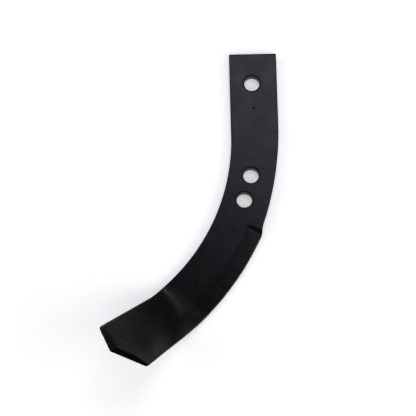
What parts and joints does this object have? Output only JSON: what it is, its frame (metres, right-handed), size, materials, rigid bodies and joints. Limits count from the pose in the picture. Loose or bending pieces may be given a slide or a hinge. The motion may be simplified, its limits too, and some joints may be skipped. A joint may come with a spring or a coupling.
{
  "type": "rotary tiller blade",
  "caption": "Curved rotary tiller blade: flat steel shank with bolt holes, forged cutting edge and a foot folded up at the tip, in satin black paint.",
  "frame": {"origin": "axis of the end bolt hole, on the seating face of the shank", "axes": "+Z out of the seating face towards the side that the foot is folded to, +Y along the shank towards its cropped mounting end, +X across the shank towards the cutting edge"},
  "size_m": [0.149, 0.273, 0.0749],
  "materials": {
    "black_paint": "satin"
  },
  "bodies": {
    "root": {"tiller_blade": "black_paint"}
  },
  "joints": []
}
